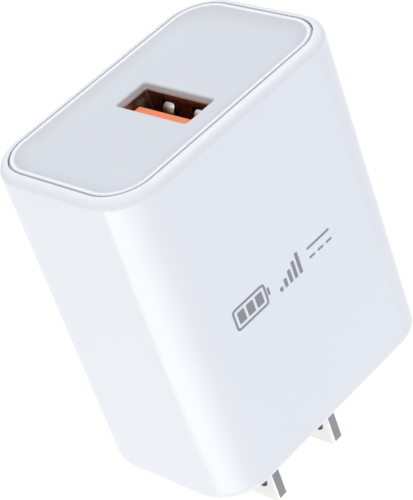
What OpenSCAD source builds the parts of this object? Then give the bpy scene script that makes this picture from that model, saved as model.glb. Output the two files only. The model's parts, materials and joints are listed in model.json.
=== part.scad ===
// USB wall charger: a rounded white housing with two flat mains blades at the bottom (-Z),
// one USB-A socket in the dished panel at the top (+Z), and the power supply inside.
// Origin: centre of the outlet face, which rests on the wall outlet. +X is the long side,
// -Y is the front face, +Z runs from the outlet to the USB socket. Millimetres.

/* [Housing] */
// Width of the housing, along X
body_w = 43; // [42:0.5:48]
// Depth of the housing, along Y
body_d = 27; // [26.5:0.5:30]
// Height of the housing above the outlet face
body_h = 50; // [50:0.5:56]
// Radius of the four upright corners
corner_r = 7; // [6.5:0.5:8]
// Rounding of the edge around the outlet face
bottom_round = 1.35; // [0.8:0.05:1.6]
// Rounding of the edge around the top
top_round = 1.3; // [0.8:0.05:1.35]
// Thickness of the side walls
wall = 2; // [1.8:0.1:2.2]
// Thickness of the floor behind the outlet face
floor_t = 2.4; // [2:0.1:2.6]

/* [Top panel] */
// Width of the housing rim around the panel
rim_w = 1.4; // [1.35:0.05:1.45]
// Gap between the rim and the panel's flange
panel_gap = 0.12; // [0.1:0.02:0.2]
// How far the panel stands back from its flange, which makes the groove around it wider
groove_step = 0.16; // [0.12:0.02:0.2]
// Depth of that groove below the rim
groove_depth = 0.3; // [0.25:0.05:0.4]
// Depth of the dish below the top of the rim
dish_depth = 1.25; // [0.9:0.05:1.35]
// Steepest slope of the dish wall, in degrees
dish_slope = 42; // [40:1:48]
// Thickness of the panel at the socket opening
panel_t = 1; // [0.8:0.1:1.2]

/* [Mains blades] */
// Distance between the blade centres
blade_pitch = 12.7; // [12.7]
// Width of a blade, along Y
blade_w = 6.35; // [6.25:0.05:6.45]
// Thickness of a blade, along X
blade_t = 1.52; // [1.45:0.01:1.6]
// Length of a blade below the outlet face
blade_len = 15.9; // [15.9:0.1:18.2]
// Distance of the hole in a blade from the outlet face
blade_hole_z = 11.7; // [11.2:0.1:12]
// Radius of the hole in a blade
blade_hole_r = 1.6; // [1.5:0.05:1.65]

/* [USB socket] */
// Opening in the panel along Y, the long way of the socket
port_l = 12.9; // [12.8:0.05:13]
// Opening in the panel along X
port_w = 5.5; // [5.4:0.05:5.6]
// Depth of the metal shell
shell_depth = 14; // [13.5:0.5:14]
// Thickness of the shell's sheet metal
shell_t = 0.3; // [0.25:0.05:0.3]
// Travel of a contact spring, in degrees
contact_travel = 3.6; // [2:0.1:4]
// Travel of a shell spring, in degrees
tab_travel = 4.5; // [3:0.1:5]

/* [Hidden] */
$fn = 64;
e = 0.01;

plastic = "whitesmoke";
steel = "silver";
dark_steel = "dimgray";
green_board = "seagreen";
black_part = [0.15, 0.15, 0.16];

// housing
lip_z = body_h - 3.2;          // ledge that carries the panel
cavity_w = body_w - 2 * wall;
cavity_d = body_d - 2 * wall;
cavity_r = corner_r - wall;
slot_gap = 0.05;               // play of a blade in its slot
boss_h = 2;                    // raised seat around each blade slot
boss_w = 4.4;
boss_rim = 1.6;
boss_z = floor_t + boss_h;

// top panel
panel_inset = rim_w + panel_gap;
panel_w = body_w - 2 * panel_inset;
panel_d = body_d - 2 * panel_inset;
panel_r = corner_r - panel_inset;
panel_top = body_h + 0.08;     // the crest stands just proud of the rim
panel_edge_r = 0.2;
panel_edge = panel_r - groove_step;
flange_z = body_h - groove_depth;
dish_z = body_h - dish_depth;
dish_crest_r = 0.45;
dish_drop = panel_top - dish_z;
dish_cove_r = dish_drop / (1 - cos(dish_slope)) - dish_crest_r;
crest_x = panel_edge - panel_edge_r - 0.1;
cove_x = crest_x - (dish_crest_r + dish_cove_r) * sin(dish_slope);
inflect = [crest_x - dish_crest_r * sin(dish_slope),
           panel_top - dish_crest_r * (1 - cos(dish_slope))];
panel_under = dish_z - panel_t;
skirt_inset = 2.1 - panel_inset;
skirt_t = 1.2;
skirt_z = lip_z - 2.3;
port_round = 0.35;             // rounding of the mouth of the socket opening
port_r = 0.5;                  // corner radius of the socket opening

// main board: it stands upright behind the parts, with its parts facing -Y
board_y = 7;
board_t = 1.6;
board_x = 18.4;
board_z0 = 9;
board_z1 = 44;
board_back = board_y + board_t;
lead_y = board_back + 0.9;
lead_r = 0.35;
hole_play = 0.1;
rail_t = 0.9;
rail_in = cavity_w / 2 - board_x + 0.45;

// mains side
blade_x = blade_pitch / 2;
blade_tip = 1.3;               // slant of the corners at a blade's end
blade_bevel = 0.3;             // bevel of its flat sides there
shoulder_t = 1.2;
shoulder_reach = 1;
stub_w = 4;
stub_z = boss_z + shoulder_t + 2.1;
retainer_w = 21;
retainer_d = 10.5;
retainer_t = 1.6;
retainer_r = 1.5;
stake_r = 1;
stake_y = 3.4;
contact_t = 0.4;
contact_w = 3.4;

// through-hole parts: [x, z, radius, reach towards -Y]
input_can_1 = [-13, 21, 4.9, 13.5];
input_can_2 = [-3.6, 21, 3.95, 12.5];
output_can_1 = [8, 38.2, 3.15, 9.5];
output_can_2 = [14.7, 38.2, 3.15, 9.5];
supply_can = [15.8, 11.4, 2, 8];
can_lead = 1.25;

// transformer, with the bobbin's axis along X
core_x = 9.6;
core_z = 21.8;
core_y = 0.6;
core_len = 14.4;
core_h = 16;
core_d = 4.8;
core_leg = 4;
core_yoke = 2.2;
bobbin_t = 0.6;
winding_r = 5.4;
pin_pitch = 4;

// USB socket
shell_x = port_w / 2 + 0.11;   // half of the shell's outer size along X
shell_y = port_l / 2 + 0.1;    // half of the shell's outer size along Y
shell_top = panel_under - 0.05;
shell_z = shell_top - shell_depth;
shell_in_x = shell_x - shell_t;
shell_in_y = shell_y - shell_t;
tongue_face = -0.06;           // side of the tongue that carries the contacts
tongue_t = 1.84;
tongue_y = 5.55;
tongue_top = shell_top - 0.5;
base_h = 3.35;
base_gap = 0.05;
channel_w = 1.3;
channel_top = tongue_top - 0.45;
pin_y = [3.5, 1, -1, -3.5];
leaf_w = 1;
leaf_t = 0.2;
leaf_end_r = 0.3;
leaf_root = [-0.75, shell_z + 4.95];
leaf_rise = 6.2;               // from the root to the crest
leaf_reach = 7.6;              // from the root to the free end
leaf_crest = tongue_face + leaf_rise * sin(contact_travel) + 0.01;
leaf_tip = -0.2;
leaf_play = 0.27;              // room behind a leaf that is pressed all the way in
channel_floor = leaf_tip - leaf_t - leaf_reach * sin(contact_travel) - leaf_play;
tail_t = 0.25;
tail_x = leaf_root[0] - tail_t / 2;
tail_step = 1.1;
spring_y = 2.85;
spring_w = 2;
spring_t = 0.25;
spring_end_r = 0.5;
spring_root = [shell_x - shell_t / 2, shell_z + 7.55];
spring_rise = 3.6;
spring_reach = 4.9;
spring_bite = 0.15;            // what still stands into the socket when a spring is pushed out
spring_crest = spring_rise * sin(tab_travel) + spring_bite;
spring_tip = -0.3;             // the free end curls back into the window
window_w = spring_w + 0.7;
window_r = 0.6;
window_z0 = spring_root[1] - 0.42;
window_z1 = spring_root[1] + spring_reach + 0.5;

// board holes for every lead
fuse_xz = [-13.8, 11];
choke_xz = [0, 11.2];
y_cap_xz = [-9.6, 33.2];
opto_xz = [-15.5, 33];
output_choke_xz = [-9.4, 40.6];
lead_xz = concat(
  [for (c = [input_can_1, input_can_2, output_can_1, output_can_2, supply_can], s = [-1, 1])
    [c[0] + s * can_lead * min(1, c[2] / 2.5), c[1]]],
  [for (s = [-1, 1]) [fuse_xz[0] + s * 3.3, fuse_xz[1]]],
  [for (s = [-1, 1]) [choke_xz[0] + s * 2, choke_xz[1]]],
  [for (s = [-1, 1]) [y_cap_xz[0], y_cap_xz[1] + s * 2.5]],
  [for (s = [-1, 1], t = [-1, 1]) [opto_xz[0] + t * 1.27, opto_xz[1] + s * 3.8]],
  [for (s = [-1, 1], i = [-1:1]) [core_x + s * 6, core_z + i * pin_pitch]],
  [for (i = [0:3]) [leaf_root[0], tail_z(i)]]
);

function tail_z(i) = shell_z - 0.8 - tail_step * i;

// A quarter of a disc in the first quadrant.
module quarter(r) {
  intersection() {
    circle(r = r);
    square(2 * r);
  }
}

// A rectangle with round corners, centred on the origin.
module round_rect(w, d, r) {
  square([w - 2 * r, d], center = true);
  square([w, d - 2 * r], center = true);
  for (a = [0, 90, 180, 270]) {
    x = (a == 0 || a == 270 ? 1 : -1) * (w / 2 - r);
    y = (a < 180 ? 1 : -1) * (d / 2 - r);
    translate([x, y]) rotate(a) quarter(r);
  }
}

module round_block(w, d, h, r) {
  linear_extrude(height = h) round_rect(w, d, r);
}

// Sweeps a section around a rounded rectangle. The section's x runs outwards from the centre
// of a corner, from 0 to r, and its y is the height.
module sweep_round(w, d, r) {
  sx = w / 2 - r;
  sy = d / 2 - r;
  for (i = [0:3]) {
    x = (i == 0 || i == 3 ? 1 : -1) * sx;
    y = (i < 2 ? 1 : -1) * sy;
    translate([x, y, 0]) rotate([0, 0, 90 * i]) rotate_extrude(angle = 90) children();
  }
  for (s = [0, 180]) rotate([0, 0, s]) {
    translate([sx, sy, 0]) rotate([90, 0, 0]) linear_extrude(height = 2 * sy) children();
    translate([-sx, sy, 0]) rotate([90, 0, 90]) linear_extrude(height = 2 * sx) children();
  }
}

// A box given by its lowest and highest corner.
module span(a, b) {
  translate(a) cube(b - a);
}

// A round bar along Y from y0 to y1.
module bar_y(x, z, r, y0, y1) {
  translate([x, y0, z]) rotate([-90, 0, 0]) cylinder(r = r, h = y1 - y0);
}

// Section of the housing's outside, from the centre of a corner outwards.
module housing_section() {
  square([corner_r - bottom_round, body_h]);
  translate([0, bottom_round]) square([corner_r, body_h - bottom_round - top_round]);
  translate([0, body_h - top_round]) square([corner_r - top_round, top_round]);
  translate([corner_r - bottom_round, bottom_round]) rotate(-90) quarter(bottom_round);
  translate([corner_r - top_round, body_h - top_round]) quarter(top_round);
}

module board_rails() {
  for (s = [-1, 1], y = [board_y - 0.1 - rail_t, board_back + 0.1]) {
    x = s * (cavity_w / 2 - rail_in / 2);
    translate([x - rail_in / 2, y, floor_t - e]) cube([rail_in, rail_t, board_z1 - 2 - floor_t]);
  }
}

module main_housing() {
  color(plastic) {
    difference() {
      union() {
        sweep_round(body_w, body_d, corner_r) housing_section();
        translate([0, 0, body_h / 2])
          cube([body_w - 2 * corner_r, body_d - 2 * corner_r, body_h], center = true);
      }
      translate([0, 0, floor_t]) round_block(cavity_w, cavity_d, body_h, cavity_r);
      translate([0, 0, lip_z])
        round_block(body_w - 2 * rim_w, body_d - 2 * rim_w, body_h, corner_r - rim_w);
      for (s = [-1, 1]) blade_slot(s);
    }
    difference() {
      board_rails();
      translate([-board_x - 0.1, board_y - 0.1, board_z0 - 0.1])
        cube([2 * board_x + 0.2, board_t + 0.2, body_h]);
    }
    for (s = [-1, 1]) {
      difference() {
        translate([s * blade_x, 0, floor_t + boss_h / 2 - e])
          cube([boss_w, blade_w + 2 * boss_rim, boss_h + 2 * e], center = true);
        blade_slot(s);
      }
      translate([0, s * stake_y, floor_t - e])
        cylinder(r = stake_r, h = boss_h + shoulder_t + retainer_t + 0.6);
    }
  }
}

module blade_slot(s) {
  w = blade_w + 2 * slot_gap;
  t = blade_t + 2 * slot_gap;
  translate([s * blade_x - t / 2, -w / 2, -1]) cube([t, w, boss_z + 2]);
}

// Section of the panel, from the centre of a corner outwards: a flat dish, a hollow cove,
// a rounded crest and a small rounded outer edge, with a flange and a skirt below.
module panel_section() {
  edge_z = panel_top - panel_edge_r;
  crest = [crest_x, panel_top - dish_crest_r];
  square_from([0, panel_under], [cove_x, dish_z]);
  difference() {
    polygon([[cove_x, panel_under], [cove_x, dish_z + 1], inflect + [0, 1], inflect, crest,
             [crest_x, panel_under]]);
    translate([cove_x, dish_z + dish_cove_r]) circle(r = dish_cove_r, $fn = 200);
    polygon([[cove_x - 1, dish_z + 2], inflect + [-0.001, 2], inflect, [cove_x, dish_z + dish_cove_r]]);
  }
  intersection() {
    translate(crest) circle(r = dish_crest_r, $fn = 120);
    polygon([crest, crest + [0, 2], crest + 2 * [-tan(dish_slope), 1]]);
  }
  square_from([crest_x, panel_under], [panel_edge - panel_edge_r, panel_top]);
  square_from([panel_edge - panel_edge_r, panel_under], [panel_edge, edge_z]);
  translate([panel_edge - panel_edge_r, edge_z]) quarter(panel_edge_r);
  square_from([panel_edge, panel_under], [panel_r, flange_z]);
  square_from([panel_r - 1.6, lip_z + 0.05], [panel_r, panel_under]);
  square_from([panel_r - skirt_inset - skirt_t, skirt_z], [panel_r - skirt_inset, panel_under]);
}

// A rectangle given by its lowest and highest corner.
module square_from(a, b) {
  translate(a) square(b - a);
}

module port_panel() {
  color(plastic) difference() {
    union() {
      sweep_round(panel_w, panel_d, panel_r) panel_section();
      translate([0, 0, panel_under + panel_t / 2])
        cube([panel_w - 2 * panel_r, panel_d - 2 * panel_r, panel_t], center = true);
    }
    port_opening();
  }
}

// The socket opening: upright walls with round corners and a rounded mouth.
module port_opening() {
  mouth_z = dish_z - port_round;
  translate([0, 0, panel_under - 1]) round_block(port_w, port_l, panel_t + 2, port_r);
  sweep_round(port_w + 2 * port_round, port_l + 2 * port_round, port_r + port_round)
    difference() {
      square_from([0, mouth_z], [port_r + port_round, dish_z + 1]);
      translate([port_r + port_round, mouth_z]) circle(r = port_round);
    }
}

// One flat blade: a bevelled tip, a hole near it, a shoulder on the boss and a stub inside.
module blade(s) {
  side = blade_w / 2;
  shoulder = side + shoulder_reach;
  color(steel) translate([s * blade_x, 0, 0]) difference() {
    union() {
      rotate([90, 0, 90]) translate([0, 0, -blade_t / 2]) linear_extrude(height = blade_t)
        polygon([[blade_tip - side, -blade_len], [side - blade_tip, -blade_len],
                 [side, blade_tip - blade_len], [side, boss_z],
                 [-side, boss_z], [-side, blade_tip - blade_len]]);
      span([-blade_t / 2, -shoulder, boss_z], [blade_t / 2, shoulder, boss_z + shoulder_t]);
      span([-blade_t / 2, -stub_w / 2, boss_z + shoulder_t - e], [blade_t / 2, stub_w / 2, stub_z]);
    }
    translate([-blade_t, 0, -blade_hole_z]) rotate([0, 90, 0])
      cylinder(r = blade_hole_r, h = 2 * blade_t);
    for (t = [-1, 1]) {
      translate([t * blade_t / 2, 0, -blade_len]) rotate([0, 45, 0])
        cube([2 * blade_bevel, blade_w + 1, 2 * blade_bevel], center = true);
    }
  }
}

module blade_left() { blade(-1); }
module blade_right() { blade(1); }

// The bar that locks both blades on their bosses; two stakes of the housing pass through it.
module blade_retainer() {
  z = boss_z + shoulder_t + 0.02;
  color("ivory") difference() {
    translate([0, 0, z]) round_block(retainer_w, retainer_d, retainer_t, retainer_r);
    for (s = [-1, 1]) {
      translate([s * blade_x, 0, z]) cube([blade_t + 0.1, stub_w + 0.1, 9], center = true);
      translate([0, s * stake_y, z - 1]) cylinder(r = stake_r + 0.05, h = 9);
    }
  }
}

// A strip that presses on the blade's stub and is soldered to the back of the board.
module mains_contact(s) {
  color("goldenrod") {
    span([s * blade_x - contact_w / 2, -2.4, stub_z],
         [s * blade_x + contact_w / 2, board_back + contact_t, stub_z + contact_t]);
    span([s * blade_x - contact_w / 2, board_back, stub_z],
         [s * blade_x + contact_w / 2, board_back + contact_t, board_z0 + 4]);
  }
}

module mains_contact_left() { mains_contact(-1); }
module mains_contact_right() { mains_contact(1); }

module main_board() {
  color(green_board) difference() {
    span([-board_x, board_y, board_z0], [board_x, board_back, board_z1]);
    for (p = lead_xz) bar_y(p[0], p[1], lead_r + hole_play, board_y - 1, board_back + 1);
  }
}

module insulation_sheet() {
  color("khaki") span([-board_x + 2.6, 10.9, board_z0 - 1], [board_x - 2.6, 11.2, board_z1]);
}

module leads(points) {
  for (p = points) bar_y(p[0], p[1], lead_r, p[2], lead_y);
}

// An electrolytic can that stands on the board, with a vent cross, a rolled groove and leads.
module can(c, sleeve) {
  foot = board_y - 0.4;
  tip = foot - c[3];
  color(sleeve) {
    difference() {
      bar_y(c[0], c[1], c[2], tip, foot);
      translate([c[0], foot - 1.6, c[1]]) rotate([-90, 0, 0]) difference() {
        cylinder(r = c[2] + 1, h = 0.7);
        cylinder(r = c[2] - 0.3, h = 0.7);
      }
      for (a = [0, 90]) translate([c[0], tip, c[1]]) rotate([0, a, 0])
        cube([1.3 * c[2], 0.4, 0.25], center = true);
    }
    dx = can_lead * min(1, c[2] / 2.5);
    leads([for (s = [-1, 1]) [c[0] + s * dx, c[1], foot - e]]);
  }
}

module input_capacitor_1() { can(input_can_1, "midnightblue"); }
module input_capacitor_2() { can(input_can_2, "midnightblue"); }
module output_capacitor_1() { can(output_can_1, "lightsteelblue"); }
module output_capacitor_2() { can(output_can_2, "lightsteelblue"); }
module supply_capacitor() { can(supply_can, "midnightblue"); }

// A tubular part that lies along X above the board, with two leads bent down to it.
module axial(p, r, len, lead_dx, y) {
  translate([p[0] - len / 2, y, p[1]]) rotate([0, 90, 0]) cylinder(r = r, h = len);
  for (s = [-1, 1]) {
    translate([p[0] + s * lead_dx, y, p[1]]) rotate([-90, 0, 0])
      cylinder(r = lead_r, h = lead_y - y);
  }
}

module fuse() { color("saddlebrown") axial(fuse_xz, 1.6, 8, 3.3, 4.9); }
module filter_inductor() { color("olivedrab") axial(choke_xz, 1.9, 6.2, 2, 4.7); }

// A surface-mounted package on the back of the board, with a row of gull-wing feet each side.
module chip(x, z, w, h, t, feet, pitch) {
  y = board_back + 0.12;
  span([x - w / 2, y, z - h / 2], [x + w / 2, y + t, z + h / 2]);
  for (s = [-1, 1], i = [0:feet - 1]) {
    fz = z + (i - (feet - 1) / 2) * pitch;
    span([x + s * w / 2 - 0.5, board_back, fz - 0.2], [x + s * w / 2 + 0.5, y + 0.1, fz + 0.2]);
  }
}

module bridge_rectifier() { color(black_part) chip(-12.5, 15.5, 4, 4.8, 1.5, 2, 2.5); }
module primary_controller() { color(black_part) chip(-5, 16.5, 3.9, 4.9, 1.5, 4, 1.27); }
module power_transistor() { color(black_part) chip(-1, 26.6, 5.2, 4.6, 1.7, 2, 2.3); }
module snubber_diode() { color(black_part) chip(-7.6, 27.4, 2.6, 1.6, 1.2, 1, 1); }
module sync_rectifier() { color(black_part) chip(10.6, 32.4, 3.9, 4.9, 1.5, 4, 1.27); }
module port_controller() { color(black_part) chip(-4.2, 38.6, 3, 3, 0.9, 3, 0.95); }

// Small chip resistors and capacitors on the back of the board.
module chip_parts() {
  spots = [[-15.5, 22.5], [-10, 22.5], [-15.5, 25.4], [-10, 25.4], [12.5, 12], [9.6, 12],
           [16.2, 33], [16.2, 30.4], [-9.5, 37.2], [-9.5, 39.8], [-13.6, 42], [2.5, 38.5]];
  color("tan") for (p = spots) {
    span([p[0] - 0.8, board_back, p[1] - 0.4], [p[0] + 0.8, board_back + 0.5, p[1] + 0.4]);
  }
}

// One E-shaped half of the ferrite core; s is the side of its back.
module core_half(s) {
  half = core_len / 2 - 0.02;
  back = half - core_yoke;
  leg = 2.05;
  color("dimgray") translate([core_x, core_y, core_z]) mirror([s < 0 ? 1 : 0, 0, 0]) {
    span([back, -core_d / 2, -core_h / 2], [half, core_d / 2, core_h / 2]);
    for (z = [-core_h / 2, core_h / 2 - leg]) {
      span([0.02, -core_d / 2, z], [back + e, core_d / 2, z + leg]);
    }
    span([0.02, -core_d / 2, -core_leg / 2], [back + e, core_d / 2, core_leg / 2]);
  }
}

module transformer_core_left() { core_half(-1); }
module transformer_core_right() { core_half(1); }

// The bobbin: a square tube on the middle leg, two flanges, two pin rails and six pins.
module transformer_bobbin() {
  tube_y = core_d / 2 + 0.1;
  tube_z = core_leg / 2 + 0.1;
  half = core_len / 2 - core_yoke - 0.1;
  rail_y = board_y - 0.3 - core_y;
  color(black_part) translate([core_x, core_y, core_z]) {
    difference() {
      union() {
        span([-half, -tube_y - bobbin_t, -tube_z - bobbin_t], [half, tube_y + bobbin_t, tube_z + bobbin_t]);
        for (s = [-1, 1]) {
          translate([s * (half - bobbin_t / 2), 0, 0])
            cube([bobbin_t, 2 * winding_r + 0.4, 2 * 5.75], center = true);
        }
      }
      span([-half - 1, -tube_y, -tube_z], [half + 1, tube_y, tube_z]);
    }
    for (s = [-1, 1]) {
      x = s * 6;
      span([x - 1.5, core_d / 2 + 0.1, -5.6], [x + 1.5, rail_y, 5.6]);
    }
  }
  color(steel) leads([for (s = [-1, 1], i = [-1:1])
    [core_x + s * 6, core_z + i * pin_pitch, board_y - 0.3 - e]]);
}

// The wound copper under its yellow tape: a rounded ring around the bobbin's tube.
module transformer_winding() {
  half = core_len / 2 - core_yoke - 0.1 - bobbin_t - 0.05;
  hole_y = core_d + 0.2 + 2 * bobbin_t + 0.06;
  hole_z = core_leg + 0.2 + 2 * bobbin_t + 0.06;
  color("gold") translate([core_x - half, core_y, core_z]) rotate([90, 0, 90])
    linear_extrude(height = 2 * half) difference() {
      round_rect(2 * winding_r, 11, 2.5);
      square([hole_y, hole_z], center = true);
    }
}

module y_capacitor() {
  r = 3.5;
  color("royalblue") {
    translate([y_cap_xz[0] - 1.5, board_y - 0.5 - r, y_cap_xz[1]]) rotate([0, 90, 0])
      cylinder(r = r, h = 3);
    leads([for (s = [-1, 1]) [y_cap_xz[0], y_cap_xz[1] + s * 2.5, board_y - 2.6]]);
  }
}

module optocoupler() {
  translate([opto_xz[0], board_y, opto_xz[1]]) {
    color(black_part) span([-2.3, -4, -3.2], [2.3, -0.5, 3.2]);
    color(steel) for (s = [0, 1], t = [-1, 1]) mirror([0, 0, s]) {
      span([t * 1.27 - 0.3, -2.4, 3.1], [t * 1.27 + 0.3, -2.1, 3.9]);
      bar_y(t * 1.27, 3.8, 0.25, -2.4, lead_y - board_y);
    }
  }
}

module output_inductor() {
  color("slategray") span([output_choke_xz[0] - 2.6, board_y - 3.2, output_choke_xz[1] - 2.6],
                          [output_choke_xz[0] + 2.6, board_y, output_choke_xz[1] + 2.6]);
}

// The stamped shell of the socket: a rounded tube with a window for each spring and two feet.
module usb_shell() {
  color(dark_steel) {
    difference() {
      translate([0, 0, shell_z]) round_block(2 * shell_x, 2 * shell_y, shell_depth, 0.7);
      translate([0, 0, shell_z - 1])
        round_block(2 * shell_in_x, 2 * shell_in_y, shell_depth + 2, 0.4);
      for (t = [-1, 1]) {
        translate([-shell_x - 1, t * spring_y, (window_z0 + window_z1) / 2]) rotate([0, 90, 0])
          round_block(window_z1 - window_z0, window_w, 2 * shell_x + 2, window_r);
      }
    }
  }
}

// Orange moulding: a base that fills the back of the shell and a tongue with four channels.
module usb_insulator() {
  chamfer = 0.3;
  base_z = shell_z + base_h;
  color("coral") difference() {
    union() {
      translate([0, 0, shell_z + 0.05])
        round_block(2 * (shell_in_x - base_gap), 2 * (shell_in_y - base_gap), base_h - 0.05, 0.4);
      intersection() {
        translate([0, tongue_y, 0]) rotate([90, 0, 0]) linear_extrude(height = 2 * tongue_y)
          polygon([[tongue_face - tongue_t, base_z - 1], [tongue_face, base_z - 1],
                   [tongue_face, tongue_top - chamfer], [tongue_face - chamfer, tongue_top],
                   [tongue_face - tongue_t + chamfer, tongue_top],
                   [tongue_face - tongue_t, tongue_top - chamfer]]);
        translate([-4, 0, 0]) rotate([90, 0, 90]) linear_extrude(height = 8)
          polygon([[-tongue_y, base_z - 1], [tongue_y, base_z - 1],
                   [tongue_y, tongue_top - 2 * chamfer], [tongue_y - 2 * chamfer, tongue_top],
                   [-tongue_y + 2 * chamfer, tongue_top], [-tongue_y, tongue_top - 2 * chamfer]]);
      }
    }
    for (i = [0:3]) {
      span([channel_floor, pin_y[i] - channel_w / 2, leaf_root[1] - 0.4],
           [shell_x, pin_y[i] + channel_w / 2, channel_top]);
      span([tail_x, pin_y[i] - leaf_w / 2, shell_z - 1],
           [tail_x + tail_t, pin_y[i] + leaf_w / 2, leaf_root[1] - 0.3]);
    }
  }
}

// Fixed ends of the four contacts: up through the base, out of its back and over to the board.
module usb_contact_tails() {
  color("gold") for (i = [0:3]) {
    z = tail_z(i);
    span([tail_x, pin_y[i] - leaf_w / 2, z - tail_t / 2],
         [tail_x + tail_t, pin_y[i] + leaf_w / 2, leaf_root[1] - 0.4]);
    span([tail_x, pin_y[i] - leaf_w / 2, z - tail_t / 2], [tail_x + tail_t, lead_y, z + tail_t / 2]);
  }
}

// Bend of a leaf spring, as an offset across it, at a height h above its root: a smooth rise
// to the crest and a smooth fall to the free end.
function bend(h, rise, reach, crest, tip) =
  h <= rise ? crest * (1 - cos(180 * h / rise)) / 2
            : tip + (crest - tip) * (1 + cos(180 * (h - rise) / (2 * (reach - rise)))) / 2
              - (crest - tip) * (1 - cos(180 * (h - rise) / (2 * (reach - rise)))) / 2;

// A leaf spring of constant width along Y, with a round root on its hinge axis, its crest on
// the +X side and the corners of its free end rounded.
module leaf(root, y, width, thick, rise, reach, crest, tip, end_r) {
  steps = 18;
  heights = [for (i = [0:steps]) reach * i / steps];
  front = [for (h = heights) [thick / 2 + bend(h, rise, reach, crest, tip), h]];
  back = [for (i = [steps:-1:0]) [front[i][0] - thick, front[i][1]]];
  translate([root[0], y, root[1]]) intersection() {
    translate([0, width / 2, 0]) rotate([90, 0, 0]) linear_extrude(height = width) {
      circle(r = 0.6 * thick);
      polygon(concat(front, back));
    }
    translate([-reach, 0, 0]) rotate([0, 90, 0]) round_block(2 * reach, width, 2 * reach, end_r);
  }
}

module usb_contact(i) {
  color("gold") leaf(leaf_root, pin_y[i - 1], leaf_w, leaf_t, leaf_rise, leaf_reach,
                     leaf_crest - leaf_root[0] - leaf_t / 2, leaf_tip - leaf_root[0] - leaf_t / 2,
                     leaf_end_r);
}

module usb_contact_1() { usb_contact(1); }
module usb_contact_2() { usb_contact(2); }
module usb_contact_3() { usb_contact(3); }
module usb_contact_4() { usb_contact(4); }

// Spring of the shell that grips the plug; side is its wall, t its place along Y.
module usb_spring(side, t) {
  color(steel) mirror([side > 0 ? 1 : 0, 0, 0])
    leaf([-spring_root[0], spring_root[1]], t * spring_y, spring_w, spring_t, spring_rise,
         spring_reach, spring_crest, spring_tip, spring_end_r);
}

module usb_spring_1() { usb_spring(1, 1); }
module usb_spring_2() { usb_spring(1, -1); }
module usb_spring_3() { usb_spring(-1, 1); }
module usb_spring_4() { usb_spring(-1, -1); }

main_housing();
port_panel();
blade_left();
blade_right();
blade_retainer();
mains_contact_left();
mains_contact_right();
main_board();
insulation_sheet();
fuse();
filter_inductor();
bridge_rectifier();
input_capacitor_1();
input_capacitor_2();
primary_controller();
power_transistor();
supply_capacitor();
snubber_diode();
transformer_core_left();
transformer_core_right();
transformer_bobbin();
transformer_winding();
y_capacitor();
optocoupler();
sync_rectifier();
output_capacitor_1();
output_capacitor_2();
output_inductor();
port_controller();
chip_parts();
usb_shell();
usb_insulator();
usb_contact_tails();
usb_contact_1();
usb_contact_2();
usb_contact_3();
usb_contact_4();
usb_spring_1();
usb_spring_2();
usb_spring_3();
usb_spring_4();
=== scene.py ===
"""Looks of a small white USB wall charger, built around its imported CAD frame.

Metres, in the frame's own axes: +Z towards the USB socket, +X along the long side, and -Y out
of the front face, which carries the print.
"""
import json
import math

import bmesh
import bpy
from mathutils import Matrix, Vector


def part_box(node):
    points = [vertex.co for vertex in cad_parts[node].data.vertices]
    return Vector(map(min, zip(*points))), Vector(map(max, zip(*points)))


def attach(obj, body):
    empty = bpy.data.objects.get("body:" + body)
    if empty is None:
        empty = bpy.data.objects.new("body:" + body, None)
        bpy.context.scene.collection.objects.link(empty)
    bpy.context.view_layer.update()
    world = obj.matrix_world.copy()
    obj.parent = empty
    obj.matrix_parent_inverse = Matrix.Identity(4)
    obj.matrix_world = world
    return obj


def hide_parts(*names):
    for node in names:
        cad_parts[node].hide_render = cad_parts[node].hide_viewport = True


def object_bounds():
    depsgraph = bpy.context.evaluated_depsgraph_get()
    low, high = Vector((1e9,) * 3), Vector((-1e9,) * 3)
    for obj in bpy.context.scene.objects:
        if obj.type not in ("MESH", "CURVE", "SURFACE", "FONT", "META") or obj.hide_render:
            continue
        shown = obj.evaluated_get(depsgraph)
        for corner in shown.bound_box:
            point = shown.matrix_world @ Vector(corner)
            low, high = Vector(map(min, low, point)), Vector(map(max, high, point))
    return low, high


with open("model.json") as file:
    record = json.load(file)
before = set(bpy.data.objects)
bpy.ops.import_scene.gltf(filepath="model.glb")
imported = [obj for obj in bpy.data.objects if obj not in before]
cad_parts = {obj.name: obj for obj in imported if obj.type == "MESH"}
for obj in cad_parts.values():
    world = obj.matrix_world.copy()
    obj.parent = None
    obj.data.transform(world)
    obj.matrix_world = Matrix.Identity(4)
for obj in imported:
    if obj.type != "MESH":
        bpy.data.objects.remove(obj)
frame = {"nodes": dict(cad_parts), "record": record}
cad_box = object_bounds()
nodes = frame["nodes"]

MM = 0.001
CHARGER = "charger"
housing_low, housing_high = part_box("main_housing")
housing_centre = (housing_low + housing_high) / 2

# ---------------------------------------------------------------- camera

VIEW_AZIMUTH = 35.86      # degrees that the line of sight is turned from +Y towards +X
VIEW_ELEVATION = 34.05    # degrees that the camera stands above the horizon
VIEW_ROLL = -20.28        # degrees that the picture is turned about the line of sight
VIEW_DISTANCE = 274.8 * MM
LENS_MM = 148.0
SENSOR_MM = 36.0
NEAREST_SEEN = 5 * MM
AIM_OFFSET = Vector((-1.16, 0.93, 0.11)) * MM   # from the middle of the housing


def camera_axes(azimuth, elevation, roll):
    """Right, up and forward of a camera, as unit vectors."""
    a, e, r = (math.radians(v) for v in (azimuth, elevation, roll))
    forward = Vector((math.sin(a) * math.cos(e), math.cos(a) * math.cos(e), -math.sin(e)))
    level = Vector((math.cos(a), -math.sin(a), 0))
    right = level * math.cos(r) + level.cross(forward) * math.sin(r)
    return right, right.cross(forward), forward


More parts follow.
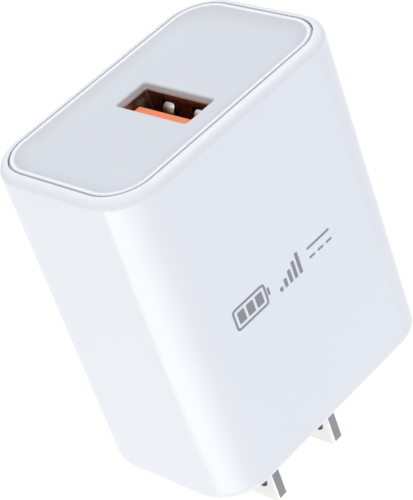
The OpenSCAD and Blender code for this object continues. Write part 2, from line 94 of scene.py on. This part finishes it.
def add_camera():
    """The product view, aimed from the middle of the housing."""
    right, up, forward = camera_axes(VIEW_AZIMUTH, VIEW_ELEVATION, VIEW_ROLL)
    data = bpy.data.cameras.new("product_camera")
    data.sensor_fit = "VERTICAL"
    data.sensor_height = SENSOR_MM
    data.lens = LENS_MM
    data.clip_start = NEAREST_SEEN
    camera = bpy.data.objects.new("product_camera", data)
    bpy.context.scene.collection.objects.link(camera)
    turn = Matrix((right, up, -forward)).transposed().to_4x4()
    place = housing_centre + AIM_OFFSET - forward * VIEW_DISTANCE
    camera.matrix_world = Matrix.Translation(place) @ turn
    bpy.context.scene.camera = camera


# ---------------------------------------------------------------- node helpers

EVEN = (1, 1, 1)          # coordinates as they are
ALONG_X = (0.04, 1, 1)    # coordinates squeezed along X, so that noise is drawn out along it
ALONG_Y = (1, 0.04, 1)
ALONG_Z = (1, 1, 0.04)
NOISE_LOW = 0.3           # cloudy noise seldom leaves the range from low to high
NOISE_HIGH = 0.7


def new_material(name):
    """A material, its node tree and its Principled shader."""
    material = bpy.data.materials.new(name)
    material.use_nodes = True
    tree = material.node_tree
    return material, tree, tree.nodes["Principled BSDF"]


def add(tree, kind, inputs=None, **settings):
    """A shader node with its settings, and inputs that are values or sockets to link."""
    node = tree.nodes.new("ShaderNode" + kind)
    for key, value in settings.items():
        setattr(node, key, value)
    for key, value in (inputs or {}).items():
        plug(tree, node.inputs[key], value)
    return node


def plug(tree, socket, value):
    """Links a socket into another one, or sets a plain value on it."""
    if isinstance(value, bpy.types.NodeSocket):
        tree.links.new(value, socket)
    else:
        socket.default_value = value


def maths(tree, operation, first, second):
    """The result of a sum on two values or sockets."""
    return add(tree, "Math", {0: first, 1: second}, operation=operation).outputs["Value"]


def part_along(tree, vector, axis):
    """The X, Y or Z of a vector."""
    return add(tree, "SeparateXYZ", {"Vector": vector}).outputs[axis]


def place_of(tree, stretch=EVEN):
    """Object coordinates, squeezed for grain that runs one way."""
    coords = add(tree, "TexCoord").outputs["Object"]
    return add(tree, "Mapping", {"Vector": coords, "Scale": stretch}).outputs["Vector"]


def noise(tree, vector, size, detail=3.0, roughness=0.55):
    """Cloudy noise whose patches are about size millimetres across."""
    inputs = {"Vector": vector, "Scale": 1 / (size * MM), "Detail": detail, "Roughness": roughness}
    return add(tree, "TexNoise", inputs).outputs["Fac"]


def remap(tree, value, low, high, from_low=NOISE_LOW, from_high=NOISE_HIGH):
    """A value that runs from low to high while the given value runs over its own range."""
    inputs = {"Value": value, "From Min": from_low, "From Max": from_high,
              "To Min": low, "To Max": high}
    return add(tree, "MapRange", inputs).outputs["Result"]


def blend_colours(tree, factor, first, second):
    """The first colour at a factor of 0, the second at 1."""
    mix = add(tree, "Mix", data_type="RGBA")
    for name, value in (("Factor", factor), ("A", first), ("B", second)):
        plug(tree, [s for s in mix.inputs if s.name == name and s.enabled][0], value)
    return [s for s in mix.outputs if s.enabled][0]


def bump(tree, height, depth, under=None):
    """A bump whose height runs over depth millimetres, on top of another bump's normal."""
    inputs = {"Height": height, "Distance": depth * MM, "Strength": 1.0}
    if under is not None:
        inputs["Normal"] = under
    return add(tree, "Bump", inputs).outputs["Normal"]


def shade(colour, factor):
    """A colour made darker or lighter."""
    return tuple(min(1.0, c * factor) for c in colour[:3]) + (1.0,)


def clouded(tree, place, colour, size, darker, lighter):
    """A colour that drifts between a darker and a lighter shade, in patches of a size."""
    clouds = remap(tree, noise(tree, place, size, detail=4), low=0, high=1)
    return blend_colours(tree, clouds, shade(colour, darker), shade(colour, lighter))


def dress(tree, shader, colour, roughness, normal):
    """Gives a shader the three inputs that every material here has."""
    plug(tree, shader.inputs["Base Color"], colour)
    plug(tree, shader.inputs["Roughness"], roughness)
    plug(tree, shader.inputs["Normal"], normal)


# ---------------------------------------------------------------- materials

PLASTIC_IOR = 1.58
CREST_MM = 0.12           # height of the polished crest around the dish, which is also painted whiter as a highlight
CREST_POLISH = 0.22       # how much less rough the crest is than the dish
OUTLET_FACE_MATT = 0.3    # how much rougher the outlet face is than the sides


def plastic(name, colour, rough, grain=1.1, grain_depth=0.002, cloud=0.03):
    """Moulded plastic: cloudy colour, uneven gloss, slow flow waves and a fine grain."""
    material, tree, shader = new_material(name)
    place = place_of(tree)
    mottled = clouded(tree, place, colour, size=14, darker=1 - cloud, lighter=1 + cloud)
    smears = remap(tree, noise(tree, place, size=6), low=rough - 0.03, high=rough + 0.04)
    waves = bump(tree, noise(tree, place, size=22, detail=1), depth=0.015)
    grains = noise(tree, place, grain, detail=2, roughness=0.6)
    dress(tree, shader, mottled, smears, bump(tree, grains, grain_depth, under=waves))
    shader.inputs["IOR"].default_value = PLASTIC_IOR
    return material


def housing_plastic(name, colour):
    """Glossy white moulding: faint clouds and flow waves, light handling smears, and an
    outlet face that the mould leaves matt. Its gloss fades out at a grazing view."""
    material, tree, shader = new_material(name)
    place = place_of(tree)
    mottled = clouded(tree, place, colour, size=18, darker=0.99, lighter=1.01)
    facing_up = part_along(tree, add(tree, "NewGeometry").outputs["Normal"], "Z")
    matt = remap(tree, facing_up, low=1, high=0, from_low=-0.98, from_high=-0.7)
    smears = remap(tree, noise(tree, place, size=7, detail=4), low=0.15, high=0.20)
    roughness = maths(tree, "ADD", smears, maths(tree, "MULTIPLY", matt, OUTLET_FACE_MATT))
    grazing = add(tree, "LayerWeight", {"Blend": 0.5}).outputs["Facing"]
    gloss = remap(tree, grazing, low=0.5, high=0.05, from_low=0.6, from_high=0.92)
    plug(tree, shader.inputs["Specular IOR Level"], gloss)
    waves = bump(tree, noise(tree, place, size=25, detail=1), depth=0.012)
    pits = maths(tree, "MULTIPLY", noise(tree, place, size=0.35, detail=2, roughness=0.7), matt)
    eroded = bump(tree, pits, depth=0.03, under=waves)
    grain = bump(tree, noise(tree, place, size=0.9, detail=2), depth=0.0006, under=eroded)
    dress(tree, shader, mottled, roughness, grain)
    shader.inputs["IOR"].default_value = PLASTIC_IOR
    return material


def panel_plastic(name, colour, crest_highlight_colour):
    """Satin dish with fine grain; the narrow crest around it is polished, and painted whiter as a
    highlight.
    """
    material, tree, shader = new_material(name)
    place = place_of(tree)
    low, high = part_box("port_panel")
    height = (high.z - low.z) / MM
    up = part_along(tree, add(tree, "TexCoord").outputs["Generated"], "Z")
    crest_from = 1 - CREST_MM / height
    crest_full = 1 - CREST_MM / 2 / height
    # The crest mask gives the polish and a painted highlight in the crest colour.
    crest = remap(tree, up, low=0, high=1, from_low=crest_from, from_high=crest_full)
    satin = clouded(tree, place, colour, size=14, darker=0.99, lighter=1.01)
    dull = remap(tree, noise(tree, place, size=6), low=0.39, high=0.45)
    roughness = maths(tree, "SUBTRACT", dull, maths(tree, "MULTIPLY", crest, CREST_POLISH))
    waves = bump(tree, noise(tree, place, size=22, detail=1), depth=0.012)
    grains = noise(tree, place, size=0.5, detail=2, roughness=0.6)
    dress(tree, shader, blend_colours(tree, crest, satin, crest_highlight_colour), roughness,
          bump(tree, grains, depth=0.003, under=waves))
    shader.inputs["IOR"].default_value = PLASTIC_IOR
    return material


def metal(name, colour, rough, stretch=ALONG_Z, lines=0.35, depth=0.002, tarnish=0.08):
    """Rolled or drawn metal: fine lines along one way and cloudy tarnish."""
    material, tree, shader = new_material(name)
    drawn = noise(tree, place_of(tree, stretch), lines, detail=3, roughness=0.6)
    mottled = clouded(tree, place_of(tree), colour, size=5, darker=1 - tarnish, lighter=1.02)
    scored = remap(tree, drawn, low=0, high=0.4, from_low=0.58, from_high=0.75)
    lined = blend_colours(tree, scored, mottled, shade(colour, 1.12))
    roughness = remap(tree, drawn, low=rough - 0.06, high=rough + 0.08)
    dress(tree, shader, lined, roughness, bump(tree, drawn, depth))
    shader.inputs["Metallic"].default_value = 1.0
    return material


def circuit_board(name, colour):
    """Solder mask over copper: lighter tracks and pads, and the glass weave under the mask."""
    material, tree, shader = new_material(name)
    flat = place_of(tree, (1, 0.01, 1))
    cells = add(tree, "TexVoronoi", {"Vector": flat, "Scale": 240.0},
                distance="CHEBYCHEV", feature="F1").outputs["Distance"]
    tracks = remap(tree, cells, low=0, high=1, from_low=0.30, from_high=0.34)
    weave = noise(tree, place_of(tree), size=1.1, detail=2)
    woven = remap(tree, weave, low=0, high=1)
    mask = blend_colours(tree, woven, shade(colour, 0.8), shade(colour, 1.1))
    dress(tree, shader, blend_colours(tree, tracks, mask, shade(colour, 1.7)),
          remap(tree, weave, low=0.25, high=0.4), bump(tree, tracks, depth=0.02))
    return material


def wound_tape(name, colour):
    """Polyester tape over a winding: its overlapping turns make fine steps along the bobbin."""
    material, tree, shader = new_material(name)
    inputs = {"Vector": place_of(tree), "Scale": 130.0, "Distortion": 0.6, "Detail": 2.0,
              "Detail Scale": 2.0}
    turns = add(tree, "TexWave", inputs, wave_type="BANDS", bands_direction="X",
                wave_profile="SAW").outputs["Fac"]
    dress(tree, shader, blend_colours(tree, turns, shade(colour, 0.86), shade(colour, 1.05)),
          remap(tree, turns, low=0.3, high=0.42), bump(tree, turns, depth=0.05))
    return material


def sintered(name, colour, rough):
    """Ferrite and fired ceramic: speckled grains with tiny pits between them."""
    material, tree, shader = new_material(name)
    inputs = {"Vector": place_of(tree), "Scale": 2600.0}
    grains = add(tree, "TexVoronoi", inputs).outputs["Distance"]
    grain_range = {"from_low": 0.1, "from_high": 0.6}
    speckle = remap(tree, grains, low=0, high=1, **grain_range)
    roughness = remap(tree, grains, low=rough - 0.1, high=rough + 0.1, **grain_range)
    dress(tree, shader, blend_colours(tree, speckle, shade(colour, 1.3), shade(colour, 0.7)),
          roughness, bump(tree, grains, depth=0.02))
    return material


def printed_ink(name, colour):
    """Pad-printed ink: a thin grey film with pinholes and a faint dragged texture."""
    material, tree, shader = new_material(name)
    specks = noise(tree, place_of(tree), size=0.12, detail=2, roughness=0.7)
    pinholes = remap(tree, specks, low=0, high=1, from_low=0.62, from_high=0.72)
    drag = noise(tree, place_of(tree, (0.2, 1, 1)), size=0.4)
    dress(tree, shader, blend_colours(tree, pinholes, colour, shade(colour, 1.6)),
          remap(tree, drag, low=0.35, high=0.5), bump(tree, drag, depth=0.001))
    return material


HOUSING_WHITE = (0.76, 0.775, 0.815, 1)
PANEL_WHITE = (0.61, 0.625, 0.67, 1)
# The crest colour is a painted highlight, whiter than the panel.
CREST_HIGHLIGHT_WHITE = (0.80, 0.815, 0.84, 1)

# One look for each material slot of the record. Plastics take colour, roughness, grain size,
# grain depth and cloud; metals take colour, roughness, way, line size and depth.
MATERIALS = {
    "housing_plastic": housing_plastic("housing_plastic_moulded", HOUSING_WHITE),
    "panel_plastic": panel_plastic("panel_plastic_satin", PANEL_WHITE, CREST_HIGHLIGHT_WHITE),
    "plated_blade": metal("plated_blade_drawn", (0.80, 0.79, 0.77, 1), 0.30),
    "retainer_plastic": plastic("retainer_nylon", (0.74, 0.68, 0.54, 1), 0.45),
    "contact_bronze": metal("contact_bronze_rolled", (0.78, 0.50, 0.28, 1), 0.3, ALONG_X),
    "board_laminate": circuit_board("board_solder_mask", (0.02, 0.16, 0.06, 1)),
    "insulation_film": plastic("insulation_film_amber", (0.70, 0.52, 0.20, 1), 0.25, 2),
    "fuse_body": plastic("fuse_body_brown", (0.22, 0.10, 0.04, 1), 0.45),
    "choke_sleeve": plastic("choke_sleeve_green", (0.10, 0.20, 0.04, 1), 0.35, 0.8, 0.02),
    "chip_black": plastic("chip_epoxy_black", (0.025, 0.025, 0.028, 1), 0.55, 0.4, 0.01),
    "chip_ceramic": sintered("chip_ceramic_tan", (0.45, 0.31, 0.19, 1), 0.5),
    "capacitor_sleeve": plastic("capacitor_sleeve_navy", (0.015, 0.02, 0.08, 1), 0.3, 1.4),
    "capacitor_can": metal("capacitor_can_drawn", (0.80, 0.81, 0.83, 1), 0.28, ALONG_Y),
    "ferrite": sintered("ferrite_sintered", (0.05, 0.05, 0.055, 1), 0.6),
    "bobbin_plastic": plastic("bobbin_phenolic", (0.03, 0.028, 0.026, 1), 0.5, 0.7, 0.01),
    "winding_tape": wound_tape("winding_tape_yellow", (0.78, 0.55, 0.05, 1)),
    "disc_ceramic": plastic("disc_epoxy_blue", (0.03, 0.10, 0.42, 1), 0.28, 4, 0.03),
    # Painted shade: the socket shell's nickel is coloured dark to stand in for the shade inside
    # the socket.
    "shell_steel": metal("shell_nickel_painted_shade", (0.30, 0.19, 0.15, 1), 0.30),
    "spring_steel": metal("spring_bright_nickel", (0.86, 0.85, 0.83, 1), 0.34),
    "tongue_orange": plastic("tongue_orange_moulded", (0.83, 0.20, 0.07, 1), 0.32, 0.5, 0.003,
                             0.04),
    "contact_gold": metal("contact_gold_flash", (0.90, 0.66, 0.28, 1), 0.25),
}
# Partly painted shade: the blades' cut edges are darker than bare metal, standing in for the shade
# on the narrow sides.
SHEARED_AND_SHADED = metal("blade_sheared_edge_and_shade", (0.30, 0.30, 0.30, 1), 0.42, (1, 1, 0.15), 0.2, 0.006)
CUT_EDGE = metal("shell_cut_edge", (0.86, 0.62, 0.50, 1), 0.5, EVEN, 0.3, 0.004)
INK = printed_ink("print_ink_grey", (0.24, 0.25, 0.27, 1))

slot_of = {part["node"]: part["material_slot"] for part in frame["record"]["subparts"]}


def give_materials():
    """Each CAD node gets the detailed material of its slot in the record."""
    for name, node in nodes.items():
        node.data.materials.clear()
        node.data.materials.append(MATERIALS[slot_of[name]])


# ---------------------------------------------------------------- pieces in place of plain nodes

# Nodes that are finished with rounded edges, and the width of the rounding in millimetres
EDGE_MM = {
    "blade_left": 0.2, "blade_right": 0.2, "usb_shell": 0.06, "usb_insulator": 0.12,
    "blade_retainer": 0.2, "mains_contact_left": 0.08, "mains_contact_right": 0.08,
    "main_board": 0.06, "insulation_sheet": 0.05, "fuse": 0.25, "filter_inductor": 0.35,
    "input_capacitor_1": 0.25, "input_capacitor_2": 0.25, "supply_capacitor": 0.2,
    "output_capacitor_1": 0.25, "output_capacitor_2": 0.25, "y_capacitor": 0.7,
    "bridge_rectifier": 0.08, "primary_controller": 0.08, "power_transistor": 0.08,
    "snubber_diode": 0.08, "sync_rectifier": 0.08, "port_controller": 0.05,
    "optocoupler": 0.12, "output_inductor": 0.3, "chip_parts": 0.06,
    "transformer_core_left": 0.2, "transformer_core_right": 0.2, "transformer_bobbin": 0.1,
    "transformer_winding": 0.25, "usb_contact_tails": 0.04,
}
EDGE_MM.update({f"usb_contact_{i}": 0.04 for i in range(1, 5)})
EDGE_MM.update({f"usb_spring_{i}": 0.05 for i in range(1, 5)})
EDGE_SEGMENTS = 3
HARD_EDGE = math.radians(32)       # edges that are sharper than this are rounded
FLAT_ANGLE = math.radians(0.6)     # faces closer than this to one plane become one face
SAME_POINT = 0.0005 * MM
UPRIGHT = 0.9                      # a normal with more than this along Z faces up or down
SIDEWAYS = 0.5                     # a normal with less than this along X faces away from it
bodies = frame["record"]["behaviour"]["bodies"]
body_of = {node: body for body, members in bodies.items() for node in members}


def add_piece(name, mesh, materials, body=CHARGER):
    """A mesh as a piece that rides on a body and wears the given materials."""
    for material in materials:
        mesh.materials.append(material)
    piece = bpy.data.objects.new(name, mesh)
    bpy.context.scene.collection.objects.link(piece)
    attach(piece, body)
    return piece


def clean_copy(node):
    """The node's mesh with its flat faces whole again, ready for its edges to be rounded."""
    grid = bmesh.new()
    grid.from_mesh(nodes[node].data)
    bmesh.ops.remove_doubles(grid, verts=grid.verts, dist=SAME_POINT)
    bmesh.ops.dissolve_limit(grid, angle_limit=FLAT_ANGLE, verts=grid.verts, edges=grid.edges)
    for face in grid.faces:
        face.smooth = True
        face.material_index = 0
    return grid


def finish_node(node):
    """Stands for a CAD node with the same shape and rounded edges."""
    grid = clean_copy(node)
    materials = [MATERIALS[slot_of[node]]]
    if node in ("blade_left", "blade_right"):
        materials.append(SHEARED_AND_SHADED)
        mark_sheared(grid)
    if node == "usb_shell":
        materials.append(CUT_EDGE)
        mark_rim(grid)
    mesh = bpy.data.meshes.new(node + "_finished")
    grid.to_mesh(mesh)
    grid.free()
    piece = add_piece(node + "_finished", mesh, materials, body_of[node])
    rounding = piece.modifiers.new("edges", "BEVEL")
    rounding.width = EDGE_MM[node] * MM
    rounding.segments = EDGE_SEGMENTS
    rounding.angle_limit = HARD_EDGE
    rounding.harden_normals = True
    rounding.material = 0
    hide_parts(node)


def mark_sheared(grid):
    """The narrow sides of a blade and the wall of its hole are cut edges, coloured dark grey
    partly as bare metal and partly as painted shade. Its broad faces, which face along X, and the
    end of its tip are plated."""
    for face in grid.faces:
        if abs(face.normal.x) < SIDEWAYS and face.normal.z > -UPRIGHT:
            face.material_index = 1


def mark_rim(grid):
    """The mouth of the socket's shell is a bare cut edge."""
    for face in grid.faces:
        if face.normal.z > UPRIGHT:
            face.material_index = 1


# ---------------------------------------------------------------- print on the front face

INK_T = 0.012 * MM
INK_SINK = 0.004 * MM                       # how deep the ink sits in the face
PRINT_LEFT = housing_centre.x - 11.4 * MM
PRINT_MIDDLE = housing_centre.z + 0.1 * MM
PRINT_H = 3.4 * MM
LINE_W = 0.36 * MM
BAR_R = 0.12 * MM                           # corners of the bars
ARC_STEPS = 6

BATTERY_W = 6.4 * MM
BATTERY_R = 0.6 * MM
BATTERY_INNER_R = 0.3 * MM
TERMINAL_GAP = 0.15 * MM
TERMINAL_W = 0.4 * MM
TERMINAL_INSET = 1.1 * MM
CHARGE_BARS = 3
CHARGE_GAP = 0.42 * MM

LEVELS_X = 8.6 * MM                         # from the left end of the print
LEVEL_BARS = 5
LEVEL_PITCH = 1.0 * MM
LEVEL_W = 0.6 * MM

SIGN_X = 14.9 * MM                          # from the left end of the print
SIGN_W = 4.6 * MM
SIGN_HALF_GAP = 0.55 * MM
SIGN_DASHES = 3


def rounded_outline(x0, z0, x1, z1, radius):
    """Points of a rounded rectangle, anticlockwise from its lower right corner."""
    corners = ((x1, z0, -90), (x1, z1, 0), (x0, z1, 90), (x0, z0, 180))
    points = []
    for x, z, start in corners:
        centre_x = x - math.copysign(radius, x - x0 - radius)
        centre_z = z - math.copysign(radius, z - z0 - radius)
        for i in range(ARC_STEPS + 1):
            angle = math.radians(start + 90 * i / ARC_STEPS)
            points.append((centre_x + radius * math.cos(angle),
                           centre_z + radius * math.sin(angle)))
    return points


def add_film(grid, outline, hole=None):
    """A thin film of ink on the front face, in the shape of an outline with or without a hole."""
    front = housing_low.y - INK_T + INK_SINK
    back = housing_low.y + INK_SINK
    rings = []
    for points in [outline] + ([hole] if hole else []):
        rings.append([[grid.verts.new((x, y, z)) for x, z in points] for y in (front, back)])
    count = len(outline)
    for i in range(count):
        j = (i + 1) % count
        for fore, aft in rings:
            grid.faces.new((fore[i], aft[i], aft[j], fore[j]))
        if hole:
            for level in (0, 1):
                outer, inner = rings[0][level], rings[1][level]
                grid.faces.new((outer[i], outer[j], inner[j], inner[i]))
    if not hole:
        for level in (0, 1):
            grid.faces.new(rings[0][level])


def add_bar(grid, x0, z0, x1, z1):
    """A film in the shape of a bar with rounded corners."""
    add_film(grid, rounded_outline(x0, z0, x1, z1, BAR_R))


def draw_battery(grid, x, z):
    """A battery outline with a terminal and bars of charge."""
    end = x + BATTERY_W
    top = z + PRINT_H
    outer = rounded_outline(x, z, end, top, BATTERY_R)
    inner = rounded_outline(x + LINE_W, z + LINE_W, end - LINE_W, top - LINE_W, BATTERY_INNER_R)
    add_film(grid, outer, inner)
    terminal = end + TERMINAL_GAP
    add_bar(grid, terminal, z + TERMINAL_INSET, terminal + TERMINAL_W, top - TERMINAL_INSET)
    inset = LINE_W + CHARGE_GAP
    pitch = (BATTERY_W - LINE_W - inset) / CHARGE_BARS
    for i in range(CHARGE_BARS):
        left = x + inset + i * pitch
        add_bar(grid, left, z + inset, left + pitch - CHARGE_GAP, top - inset)


def draw_levels(grid, x, z):
    """Bars that rise from left to right."""
    for i in range(LEVEL_BARS):
        left = x + i * LEVEL_PITCH
        add_bar(grid, left, z, left + LEVEL_W, z + PRINT_H * (i + 1) / LEVEL_BARS)


def draw_direct_current(grid, x, z):
    """The sign for direct current: a line over dashes, with z midway between them."""
    add_bar(grid, x, z + SIGN_HALF_GAP, x + SIGN_W, z + SIGN_HALF_GAP + LINE_W)
    dash = SIGN_W / (SIGN_DASHES + 1)
    for i in range(SIGN_DASHES):
        left = x + i * (SIGN_W - dash) / (SIGN_DASHES - 1)
        add_bar(grid, left, z - SIGN_HALF_GAP - LINE_W, left + dash, z - SIGN_HALF_GAP)


def add_print():
    """The three signs on the front face, as one piece of ink."""
    grid = bmesh.new()
    low = PRINT_MIDDLE - PRINT_H / 2
    draw_battery(grid, PRINT_LEFT, low)
    draw_levels(grid, PRINT_LEFT + LEVELS_X, low)
    draw_direct_current(grid, PRINT_LEFT + SIGN_X, PRINT_MIDDLE)
    bmesh.ops.recalc_face_normals(grid, faces=grid.faces)
    mesh = bpy.data.meshes.new("front_print")
    grid.to_mesh(mesh)
    grid.free()
    add_piece("front_print", mesh, [INK])


# ---------------------------------------------------------------- stage and light

FLOOR_DROP = 0.42         # metres from the charger's lowest point down to the floor
FLOOR_HALF = 3.0          # metres from the middle of the floor to its sides
FLOOR_DARK = (0.50, 0.50, 0.51, 1)
FLOOR_PALE = (0.54, 0.54, 0.55, 1)
FLOOR_ROUGH = 0.8
FLOOR_SPECKLE = 40        # millimetres
GLOW_TINT = (1.0, 0.99, 0.95, 1)
GLOW_NEAR = 0.54          # light of its own that the floor gives near the charger
GLOW_FAR = 0.1            # and at FLOOR_HALF away from it
GLOW_REACH = 1.2          # metres from the charger to where the glow starts to fade
LIGHT_DISTANCE = 0.45     # metres from the middle of the housing to each softbox
RECTANGLE_POWER = 4       # power of a square metre of light whose radiance is 1
ROOM_LIGHT = 0.64         # light of the room at the level of the horizon
ROOM_RISE = 0.64          # how much more of it comes from straight above
ROOM_TINT = (0.92, 0.945, 0.985, 1)
WHITE = (1.0, 1.0, 1.0)
COOL = (0.40, 0.60, 1.0)
WARM = (1.0, 0.80, 0.25)

# name: azimuth from +X towards +Y, elevation, width and height in metres, radiance, colour, fade
SOFTBOXES = {
    "corner_strip": (213, -34, 0.62, 0.18, 1.55, WHITE, 0.6),
    "front_low": (-54, -34, 0.22, 0.20, 0.28, COOL, 0.0),
    "overhead": (212, 55, 0.30, 0.30, 0.42, WARM, 0.0),
    "back_high": (70, 50, 0.40, 0.25, 0.13, WHITE, 0.0),
    "front_rim": (2, 58, 0.34, 0.18, 0.6, WHITE, 0.0),
}


def floor_material():
    """Pale floor that glows a little, and less with its distance from the charger."""
    material, tree, shader = new_material("floor_white")
    speckle = noise(tree, place_of(tree), FLOOR_SPECKLE)
    plug(tree, shader.inputs["Base Color"], blend_colours(tree, speckle, FLOOR_DARK, FLOOR_PALE))
    shader.inputs["Roughness"].default_value = FLOOR_ROUGH
    shader.inputs["Emission Color"].default_value = GLOW_TINT
    distance = add(tree, "VectorMath", {0: place_of(tree)}, operation="LENGTH").outputs["Value"]
    glow = remap(tree, distance, GLOW_NEAR, GLOW_FAR, GLOW_REACH, FLOOR_HALF)
    plug(tree, shader.inputs["Emission Strength"], glow)
    return material


def add_floor():
    """A level square of floor, well below the charger."""
    half = FLOOR_HALF
    z = cad_box[0][2] - FLOOR_DROP
    mesh = bpy.data.meshes.new("floor")
    corners = [(-half, -half, z), (half, -half, z), (half, half, z), (-half, half, z)]
    mesh.from_pydata(corners, [], [(0, 1, 2, 3)])
    mesh.materials.append(floor_material())
    floor = bpy.data.objects.new("floor", mesh)
    bpy.context.scene.collection.objects.link(floor)


def add_softbox(name, azimuth, elevation, width, height, radiance, colour, fade):
    """A rectangular light that faces the charger and fades out towards one side."""
    data = bpy.data.lights.new(name, "AREA")
    data.shape = "RECTANGLE"
    data.size = width
    data.size_y = height
    data.energy = RECTANGLE_POWER * width * height * radiance
    data.color = colour
    if fade:
        data.use_nodes = True
        tree = data.node_tree
        across = part_along(tree, add(tree, "NewGeometry").outputs["Parametric"], "X")
        ramp = remap(tree, across, low=1, high=0, from_low=1 - fade, from_high=1)
        plug(tree, tree.nodes["Emission"].inputs["Strength"], ramp)
    light = bpy.data.objects.new(name, data)
    bpy.context.scene.collection.objects.link(light)
    a, e = math.radians(azimuth), math.radians(elevation)
    towards = Vector((math.cos(a) * math.cos(e), math.sin(a) * math.cos(e), math.sin(e)))
    light.location = housing_centre + towards * LIGHT_DISTANCE
    light.rotation_euler = (-towards).to_track_quat("-Z", "Y").to_euler()


def add_room_light():
    """An even room whose light grows from below to above."""
    world = bpy.data.worlds.new("studio")
    world.use_nodes = True
    tree = world.node_tree
    up = part_along(tree, add(tree, "TexCoord").outputs["Generated"], "Z")
    strength = maths(tree, "ADD", maths(tree, "MULTIPLY", up, ROOM_RISE), ROOM_LIGHT)
    background = tree.nodes["Background"]
    background.inputs["Color"].default_value = ROOM_TINT
    plug(tree, background.inputs["Strength"], strength)
    bpy.context.scene.world = world


add_camera()
give_materials()
for node_name in EDGE_MM:
    finish_node(node_name)
add_print()
add_floor()
add_room_light()
for softbox, settings in SOFTBOXES.items():
    add_softbox(softbox, *settings)
bpy.context.scene.view_settings.view_transform = "Standard"
